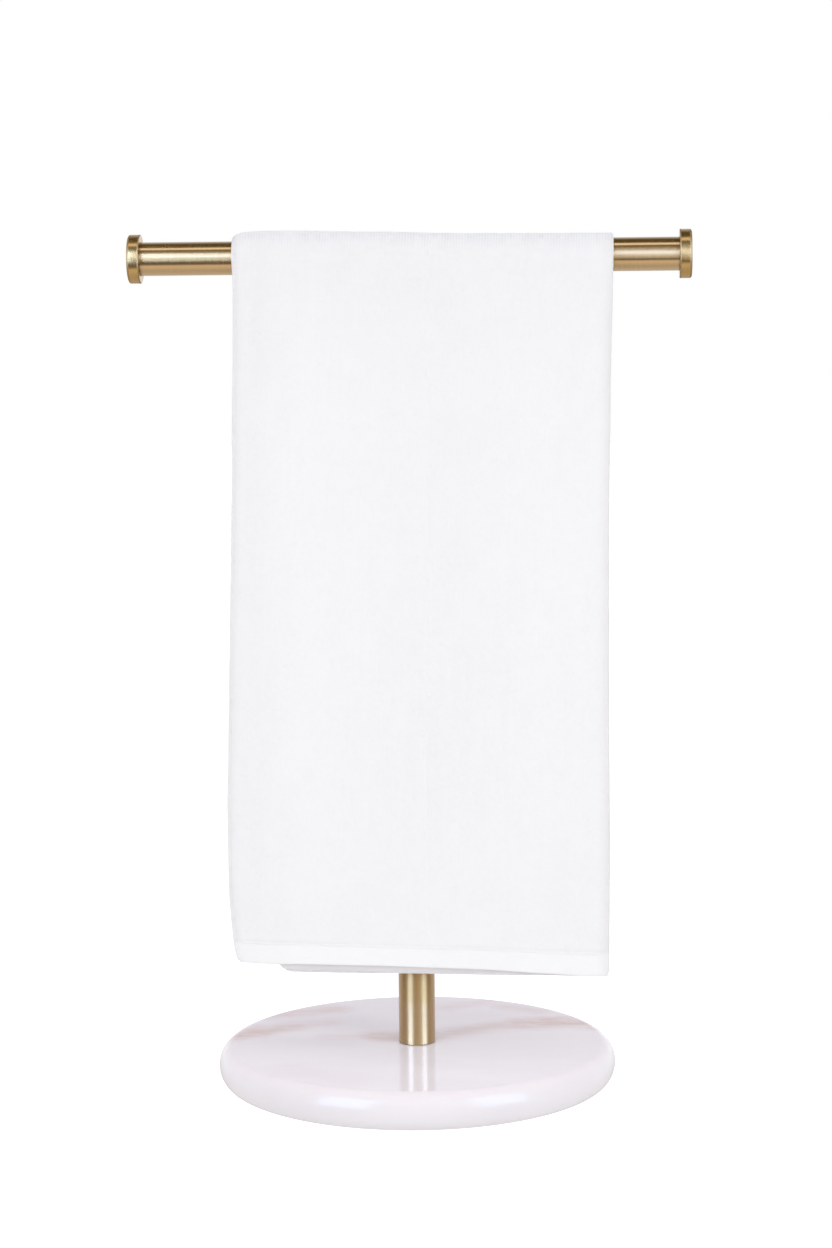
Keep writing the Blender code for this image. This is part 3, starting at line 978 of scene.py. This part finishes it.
# How much rougher a cap gets at its two turned edges, and smooth again on its inner face.
CAP_EDGES = (
    # from   to      added; the first two are distances from the bar's middle
    (0.1486, 0.1490, 0.45),
    (0.1443, 0.1441, 0.45),
    (0.1436, 0.1435, -0.45),
)
BRASSES = (
    # name, axis, roughness, anisotropy, depth of the strokes, coat, tint and edges
    ("brass_bar", "X", 0.265, 0.73, 3e-8, 1.0, (1.0, 0.985, 0.955)),
    ("brass_cap", "X", 0.275, 0.60, 1.5e-6, 0.0, (0.96, 0.94, 0.87), CAP_EDGES),
    ("brass_post", "Z", 0.405, 0.77, 3e-7, 1.0, (0.95, 0.88, 0.76)),
)


def make_brass(name, axis, roughness, anisotropy, stroke_depth, coat, tint, edges=()):
    """Brass that is brushed round the axis it was turned on, lacquered if coat is 1."""
    made, shader = material(name)
    place = texture_place(shader)
    brushed = stretched(place, tuple(1.0 if way == axis else STROKE_STRETCH for way in "XYZ"))
    broad, fine = (noise(brushed, *kind) for kind in STROKES)
    strokes = product(math_node("ADD", broad, fine), 0.5)
    color = layered(BRASS_DEEP, (
        (ranged(strokes, *FINE_NOISE_RANGE, soft=False), BRASS_PALE),
        (ranged(noise(place, CLOUD_SCALE), *CLOUD_RANGE, 0.0, CLOUD_SHARE), BRASS_CLOUD),
        (1.0, tint, "MULTIPLY"),
    ))
    spread = (roughness - ROUGHNESS_SPREAD, roughness + ROUGHNESS_SPREAD)
    rough = ranged(strokes, *FINE_NOISE_RANGE, *spread, soft=False)
    for start, full, added in edges:
        from_middle = math_node("ABSOLUTE", separate(place)[axis])
        rough = math_node("ADD", rough, ranged(from_middle, start, full, 0.0, added))
    tangent = add_node("Tangent", {}, shader, direction_type="RADIAL", axis=axis)[0]
    set_inputs(shader, Base_Color=color, Roughness=rough, Normal=bump(strokes, stroke_depth),
               Tangent=tangent, Anisotropic=anisotropy, Coat_Weight=coat, **BRUSHED, **LACQUER)
    return made


# ---------------- marble

MARBLE_DEEP = (0.880, 0.824, 0.850)
MARBLE_PALE = (0.914, 0.863, 0.884)
MARBLE_FAR_SHADE = (0.800, 0.735, 0.785)       # painted shade in the top's far part, most at the left
MARBLE_GREY = (0.710, 0.650, 0.700)
MARBLE_WARM = (0.690, 0.520, 0.485)
# painted light, laid over the top right of the post
MARBLE_PAINTED_LIGHT = (0.985, 0.938, 0.955)
MARBLE_RIM_SHADE = (0.940, 0.962, 0.972)       # painted shade, a little less pink, multiplied into the rest down the rim
MARBLE_SPECK = (0.760, 0.620, 0.660)
MARBLE_GRAIN = (0.95, 0.93, 0.95)
FAR_SLANT = 0.35
FAR_FROM = (15.0 * MM, 65.0 * MM)        # where the far part starts, and is fully there
FAR_SHARES = (0.253, 0.46)               # at its right and its left
FAR_SIDES = (90.0 * MM, -90.0 * MM)
RIM_SHADE_FROM = (BASE_HEIGHT - 1.0 * MM, BASE_HEIGHT - 6.0 * MM)
MARBLE_BANDS = (0.35, 1.0, 1.0)          # the clouds' and the breaks' scales, longer along the bar
WANDER_SCALES = (1, 1, 0.35)             # slower down the rim
# How the veins wander.
WANDER = (
    # scale  detail  roughness  reach
    (28, 4.0, 0.6, 12.0 * MM),
    (160, 3.0, 0.6, 4.0 * MM),
)
# Noises: scale, detail and roughness.
MARBLE_CLOUDS = (30, 5.0, 0.55)
CRYSTALS = (420, 3.0, 0.6)
GRAIN = (1400, 2.0, 0.6)
WAVES = (90, 3.0)                        # in the polished surface
WAVE_DEPTH = 4e-6
VEIN_BREAKS = (4.0, 0.6)                 # detail and roughness alone
SPECK_RANGE = (0.58, 0.74)
SPECK_SHARE = 0.08
GRAIN_SHARE = 0.06
MARBLE_ROUGHNESS = (0.065, 0.095)
MARBLE_IOR = 1.22

# Veins in the marble's top, drawn from point to point in millimetres.
WARM_VEINS = (
    # x1  y1  x2  y2  width  strength
    (-107, 11, -90, 20, 20, 0.95),
    (-90, 20, -70, 31, 16, 0.75),
    (-70, 31, -52, 39, 14, 0.35),
    (-86, 56, -50, 71, 16, 0.60),
    (-50, 7, -30, 9, 12, 0.30),
    (-24, 9, -8, 10, 16, 0.75),
    (8, 9, 20, 19, 16, 0.65),
    (20, 19, 36, 29, 16, 0.55),
    (36, 29, 56, 38, 17, 0.55),
    (56, 38, 74, 42, 20, 0.80),
    (72, 42, 88, 41, 20, 0.95),
    (88, 41, 97, 32, 13, 0.60),
    (12, 76, 36, 90, 14, 0.35),
    (48, 77, 66, 68, 13, 0.35),
    (-57, 40, -54, 41, 6, 0.30),
    (-66, -60, -34, -77, 21, 0.11),
)
GREY_VEINS = (
    # x1  y1  x2  y2  width  strength
    (-98, 14, -67, 40, 20, 0.55),
    (-67, 40, -36, 44, 20, 0.80),
    (-36, 44, -12, 30, 18, 0.60),
    (-84, 2, -40, -6, 16, 0.45),
    (46, 80, 66, 66, 14, 0.45),
    (8, 52, 40, 58, 18, 0.40),
    (20, 26, 60, 46, 20, 0.35),
    (30, -18, 92, -4, 12, 0.15),
)
# A broad patch of painted light on the top, right of the post.
PAINTED_LIGHT_PATCH = (
    # x1  y1  x2  y2  width  strength
    (22, -8, 80, 0, 36, 0.50),
)
# Veins that come and go with a noise: where it is low they start, and have the least share.
BROKEN_VEINS = (
    # table    scale  low   high  least  most  colour
    (GREY_VEINS, 120, 0.25, 0.60, 0.189, 0.42, MARBLE_GREY),
    (WARM_VEINS, 150, 0.28, 0.60, 0.525, 1.05, MARBLE_WARM),
)


def band_strength(place, table):
    """How strongly a place on the base lies in one of a table's bands, veins or a patch of painted light,
    which fade at their sides.
    """
    total = None
    for x1, y1, x2, y2, width, strength in table:
        run = ((x2 - x1) * MM, (y2 - y1) * MM, 0)
        from_start = vector_node("SUBTRACT", place, (x1 * MM, y1 * MM, 0))
        dot = vector_node("DOT_PRODUCT", from_start, run, output=1)
        share = math_node("DIVIDE", dot, math.hypot(*run)**2, clamp=True)
        nearest = vector_node("SCALE", run, share)
        distance = vector_node("DISTANCE", from_start, nearest, output=1)
        here = ranged(distance, 0.0, width * MM, strength, 0.0)
        total = here if total is None else math_node("MAXIMUM", total, here)
    return total


def wandering(place):
    """Places on the base's top, pushed about so that straight veins wander."""
    flat = stretched(place, WANDER_SCALES)
    pushed = flat
    for *kind, reach in WANDER:
        push = vector_node("SUBTRACT", noise(flat, *kind, "Color"), NOISE_MIDDLE)
        pushed = vector_node("ADD", pushed, vector_node("SCALE", push, reach))
    return stretched(pushed, (1, 1, 0))


def broken_veins(warped, banded, table, scale, *limits):
    come = ranged(noise(banded, scale, *VEIN_BREAKS), *limits)
    return product(band_strength(warped, table), come)


def make_marble():
    """Polished pale marble: lavender-grey clouds, a few soft warm veins and a fine crystal grain, with
    painted shade over the top's far part and down the rim, and a patch of painted light on the top.
    """
    made, shader = material("polished_marble")
    place = texture_place(shader)
    warped = wandering(place)
    banded = stretched(warped, MARBLE_BANDS)
    crystals = noise(place, *CRYSTALS)
    x, y, z = separate(place)
    # painted shade over the top's far part, most at the left
    back = math_node("SUBTRACT", y, product(x, FAR_SLANT))
    far = product(ranged(back, *FAR_FROM), ranged(x, *FAR_SIDES, *FAR_SHARES))
    color = layered(MARBLE_DEEP, (
        (ranged(noise(banded, *MARBLE_CLOUDS), *NOISE_RANGE), MARBLE_PALE),
        (far, MARBLE_FAR_SHADE),
        *[(broken_veins(warped, banded, *kind), tint) for *kind, tint in BROKEN_VEINS],
        # a patch of painted light
        (band_strength(warped, PAINTED_LIGHT_PATCH), MARBLE_PAINTED_LIGHT),
        # painted shade down the rim
        (ranged(z, *RIM_SHADE_FROM), MARBLE_RIM_SHADE, "MULTIPLY"),
        (ranged(crystals, *SPECK_RANGE, 0.0, SPECK_SHARE), MARBLE_SPECK),
        (ranged(noise(place, *GRAIN), *FINE_NOISE_RANGE, 0.0, GRAIN_SHARE), MARBLE_GRAIN),
    ))
    rough = ranged(crystals, *NOISE_RANGE, *MARBLE_ROUGHNESS)
    waves = bump(noise(place, *WAVES), WAVE_DEPTH)
    set_inputs(shader, Base_Color=color, Roughness=rough, Normal=waves, IOR=MARBLE_IOR)
    return made


# ---------------- cotton

TERRY_LIGHT = (0.893, 0.891, 0.883)
TERRY_SHADE = (0.889, 0.887, 0.880)
TERRY_FLECK = (0.857, 0.854, 0.853)
HEM_LIGHT = (0.897, 0.897, 0.877)
HEM_SHADE = (0.885, 0.885, 0.869)
THREAD_LIGHT = (0.872, 0.868, 0.885)
THREAD_SHADE = (0.835, 0.830, 0.855)
PAINTED_SHADE_TINT = (1.0, 0.970, 0.968)          # the painted shade's warmer tint, multiplied in where the mesh's painted shade is dark
PAINTED_SHADE_TINT_FROM = (0.98, 0.86)                 # tones where it starts, and is fully there
YARN_ACROSS = 1.1 * MM         # two yarns
YARN_ALONG = 0.9 * MM
WEAVE_HEIGHT = 0.35            # of the slubs' height
FIBRE_HEIGHT = 0.5
# Noises: scale, detail and roughness.
FIBRES = (5200, 3.0, 0.65)
FLECKS = (650, 3.0, 0.6)
SLUBS = (900, 3.0, 0.6)
TERRY_CLOUDS = (55, 3.0)
FLECK_SCALES = (1, 1, 0.45)              # longer down the cloth
SLUB_SCALES = (0.3, 0.3, 1)              # longer along the hem
FLECK_SHARES = (0.30, 0.52, 0.30, 0.0)   # noise of 0.30 to 0.52 gives a share of 0.30 to none
# Each kind of cotton: depth and strength of its relief, roughness, specular level and sheen.
TERRY_FINISH = (6e-5, 0.8, 0.95, 0.15, 0.05)
THREAD_FINISH = (4e-5, 0.6, 0.9, 0.15, 0.05)
HEM_FINISH = (5e-5, 0.7, 0.85, 0.2, 0.04)
SHEEN_ROUGHNESS = 0.5


def with_painted_shading(color):
    """A colour that is multiplied by the mesh's painted shade, painted light and uneven tone, and a little
    warmer where the painted shade is dark.
    """
    painted_shading_and_tone = add_node("Attribute", {}, color, attribute_name="painted_shading_and_tone")["Fac"]
    color = mix_color(ranged(painted_shading_and_tone, *PAINTED_SHADE_TINT_FROM), color, PAINTED_SHADE_TINT, "MULTIPLY")
    return vector_node("SCALE", color, painted_shading_and_tone)


def cotton(shader, color, height, depth, strength, roughness, specular, sheen):
    """A matt, slightly furry surface with a relief."""
    set_inputs(shader, Base_Color=color, Normal=bump(height, depth, strength),
               Roughness=roughness, Specular_IOR_Level=specular, Sheen_Weight=sheen,
               Sheen_Roughness=SHEEN_ROUGHNESS)


def make_terry():
    """White cotton pile: matt, faintly uneven in tone, with fibres too small to model."""
    made, shader = material("terry")
    place = texture_place(shader)
    flecks = noise(stretched(place, FLECK_SCALES), *FLECKS)
    color = layered(TERRY_SHADE, (
        (ranged(noise(place, *TERRY_CLOUDS), *NOISE_RANGE), TERRY_LIGHT),
        (ranged(flecks, *FLECK_SHARES), TERRY_FLECK),
    ))
    cotton(shader, with_painted_shading(color), noise(place, *FIBRES), *TERRY_FINISH)
    return made


def make_thread():
    """Sewing cotton, a little greyer than the cloth."""
    made, shader = material("sewing_thread")
    fibres = noise(texture_place(shader), *FIBRES)
    color = mix_color(ranged(fibres, *FINE_NOISE_RANGE), THREAD_SHADE, THREAD_LIGHT)
    cotton(shader, color, fibres, *THREAD_FINISH)
    return made


def make_woven():
    """The flat hems: a fine plain weave, a little brighter than the pile."""
    made, shader = material("woven_hem")

    def yarns(way, pitch):
        return math_node("SINE", product(way, math.tau / pitch))

    across, along, _ = separate(texture_place(shader, "UV"))
    weave = product(yarns(across, YARN_ACROSS), yarns(along, YARN_ALONG))
    place = texture_place(shader)
    slubs = noise(stretched(place, SLUB_SCALES), *SLUBS)
    height = math_node("ADD", product(weave, WEAVE_HEIGHT), slubs)
    height = math_node("ADD", height, product(noise(place, *FIBRES), FIBRE_HEIGHT))
    color = mix_color(ranged(slubs, *NOISE_RANGE), HEM_SHADE, HEM_LIGHT)
    cotton(shader, with_painted_shading(color), height, *HEM_FINISH)
    return made


# ---------------- building

terry, woven, marble = make_terry(), make_woven(), make_marble()
brass_across, brass_caps, brass_upright = (make_brass(*kind) for kind in BRASSES)

draw = np.random.default_rng(SEED)
cloth = make_sheet(terry, woven)
front_rows, back_rows = pile_rows()
pile = make_pile("terry_front", front_rows, 0, terry, draw)
pile += make_pile("terry_back", back_rows, -1, terry, draw)
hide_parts("towel")
stitching = make_stitching(make_thread())
for piece in (cloth, *pile, *stitching):
    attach(piece, "root")

hard_pieces = (
    (make_bar(brass_across), "bar", "brass"),
    (make_cap(-1, brass_caps), "cap_left", "brass"),
    (make_cap(1, brass_caps), "cap_right", "brass"),
    (make_post(brass_upright), "post", "brass"),
    (make_base(marble), "base", "marble"),
)
for piece, node, slot in hard_pieces:
    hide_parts(node)
    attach(piece, "root")

# ---------------- stage, light and camera

CAMERA_PLACE = (0.08117, -1.59901, 0.44096)
CAMERA_PAN = 0.04968           # radians, to the left
CAMERA_PITCH = 0.11789         # down
CAMERA_ROLL = 0.01029
CAMERA_LENS = 86.077           # in millimetres, like the sensor's width
CAMERA_SENSOR = 36.0
CAMERA_SIGHT = 50.0            # how far it sees
FLOOR_LEVEL = -0.2 * MM
BEHIND_FROM = (-0.10, 0.35)    # the direction's Y over which what is mirrored changes
FLOOR_HALF = 6.0
FLOOR_COLOR = (0.85, 0.85, 0.85, 1)
FLOOR_GLOW = 0.6
KEY_AIM = 0.25                 # height of the place that the keys are turned to


def rotation(radians, axis):
    return Matrix.Rotation(radians, 4, axis)


def make_camera():
    camera = bpy.data.cameras.new("camera")
    camera.lens = CAMERA_LENS
    camera.sensor_width = CAMERA_SENSOR
    camera.sensor_fit = "AUTO"
    camera.clip_end = CAMERA_SIGHT
    obj = linked("camera", camera)
    aim = rotation(CAMERA_PAN, "Z") @ rotation(math.pi / 2 - CAMERA_PITCH, "X") @ rotation(-CAMERA_ROLL, "Z")
    obj.matrix_world = Matrix.Translation(CAMERA_PLACE) @ aim
    bpy.context.scene.camera = obj


def make_floor():
    made, shader = material("floor")
    set_inputs(shader, Base_Color=FLOOR_COLOR, Roughness=1.0, Specular_IOR_Level=0.0,
               Emission_Color=(1, 1, 1, 1), Emission_Strength=FLOOR_GLOW)
    sides = ((-1, -1), (1, -1), (1, 1), (-1, 1))
    corners = [(x * FLOOR_HALF, y * FLOOR_HALF, FLOOR_LEVEL) for x, y in sides]
    floor = mesh_object("floor", corners, [np.array([(0, 1, 2, 3)])], [made])
    floor.visible_glossy = False
    floor.visible_diffuse = False


# The studio's walls and ceiling by elevation: what falls on matt surfaces, and what
# polished ones mirror in front of the object and behind it.
FILL = (
    # elevation  red   green  blue
    (-90, 0.80, 0.80, 0.81),
    (-5, 0.82, 0.82, 0.83),
    (5, 0.79, 0.79, 0.80),
    (35, 0.75, 0.75, 0.77),
    (60, 0.86, 0.86, 0.90),
    (90, 0.92, 0.92, 0.98),
)
MIRRORED_AHEAD = (
    # elevation  red   green  blue
    (-90, 0.97, 0.94, 0.91),
    (-55, 1.35, 1.25, 1.17),
    (-46, 1.28, 1.18, 1.10),
    (-40, 0.35, 0.28, 0.20),
    (-27, 0.18, 0.14, 0.10),
    (-20, 0.20, 0.18, 0.13),
    (-13, 0.42, 0.37, 0.30),
    (0, 0.62, 0.58, 0.50),
    (25, 0.67, 0.62, 0.56),
    (42, 0.53, 0.47, 0.37),
    (58, 0.14, 0.11, 0.05),
    (90, 0.14, 0.11, 0.05),
)
MIRRORED_BEHIND = (
    # elevation  red   green  blue
    (-90, 0.97, 0.91, 0.84),
    (-55, 0.96, 0.90, 0.82),
    (-30, 0.72, 0.68, 0.62),
    (-14, 0.72, 0.70, 0.67),
    (0, 1.26, 1.26, 1.30),
    (14, 0.96, 0.96, 1.03),
    (45, 0.72, 0.70, 0.67),
    (65, 0.14, 0.11, 0.05),
    (90, 0.14, 0.11, 0.05),
)

# Lights that show in polished surfaces only, turned to a height on the model's axis, with the
# azimuth measured from the front towards +X.
CARDS = (
    # name, azimuth, elevation, distance, width, height, tilt, radiance, height of the aim
    ("softbox_left", -39.3, 18, 1.3, 0.70, 1.15, 0, (6.40, 10.1, 20.5), 0.20),
    ("softbox_right", 51.3, 18, 1.3, 0.68, 1.15, 0, (6.30, 9.80, 19.0), 0.20),
    ("front_band", 12, 8.0, 0.8, 0.90, 0.35, -29, (1.22, 1.59, 2.75), 0.45),
    ("front_low", 14, -19, 0.8, 0.36, 0.30, -12, (0.80, 0.85, 0.95), 0.45),
    ("overhead_strip", 0, 71.6, 1.2, 1.60, 0.34, 3, (1.85, 1.78, 1.80), 0.45),
    ("overhead_left", -100, 66, 1.2, 0.16, 0.22, 0, (2.6, 2.6, 2.8), 0.02),
    ("overhead_right", 100, 66, 1.2, 0.16, 0.22, 0, (2.6, 2.6, 2.8), 0.02),
)

# Lights that fall on matt surfaces only; level is the share of full white that each adds
# to a surface that faces it.
KEYS = (
    # name   azimuth elevation distance width height level
    ("key_left", -44, 8, 1.8, 0.9, 1.2, 0.20),
    ("key_right", 46, 8, 1.8, 0.9, 1.2, 0.24),
)


def color_by_elevation(height, stops):
    """A colour that follows a table by elevation; height is the direction's, from 0 to 1."""
    ramp = height.id_data.nodes.new("ShaderNodeValToRGB")
    elements = ramp.color_ramp.elements
    elements.remove(elements[1])
    for number, (elevation, *color) in enumerate(stops):
        position = (math.sin(math.radians(elevation)) + 1) / 2
        element = elements[0] if number == 0 else elements.new(position)
        element.position = position
        element.color = (*color, 1)
    wire(ramp.inputs["Fac"], height)
    return ramp.outputs["Color"]


def make_world():
    world = bpy.data.worlds.new("studio")
    bpy.context.scene.world = world
    world.use_nodes = True
    background = world.node_tree.nodes["Background"]
    _, y, z = separate(texture_place(background, "Generated"))
    height = ranged(z, -1.0, 1.0, soft=False)
    behind = ranged(y, *BEHIND_FROM)
    fill, *mirrored = (color_by_elevation(height, stops) for stops in (FILL, MIRRORED_AHEAD, MIRRORED_BEHIND))
    path = add_node("LightPath", {}, background)
    color = mix_color(path["Is Glossy Ray"], fill, mix_color(behind, *mirrored))
    color = mix_color(path["Is Camera Ray"], color, (1.0, 1.0, 1.0))
    set_inputs(background, Color=color)


def area_light(name, azimuth, elevation, distance, width, height, tilt, radiance, aim):
    brightest = max(radiance)
    light = bpy.data.lights.new(name, "AREA")
    light.shape = "RECTANGLE"
    light.size, light.size_y = width, height
    light.energy = brightest * math.pi * width * height
    light.color = [part / brightest for part in radiance]
    obj = linked(name, light)
    around, from_top, askew = map(math.radians, (azimuth, 90 - elevation, tilt))
    away = rotation(around, "Z") @ rotation(from_top, "X") @ Matrix.Translation((0, 0, distance))
    obj.matrix_world = Matrix.Translation((0, 0, aim)) @ away @ rotation(askew, "Z")
    obj.visible_camera = False
    return obj


def make_lights():
    for card in CARDS:
        area_light(*card).visible_diffuse = False
    for name, azimuth, elevation, distance, width, height, level in KEYS:
        radiance = level * math.pi * distance**2 / (width * height)
        key = area_light(name, azimuth, elevation, distance, width, height, 0, (radiance,) * 3, KEY_AIM)
        key.visible_glossy = False


make_camera()
make_floor()
make_world()
make_lights()
bpy.context.scene.view_settings.view_transform = "Standard"
bpy.context.scene.view_settings.look = "None"
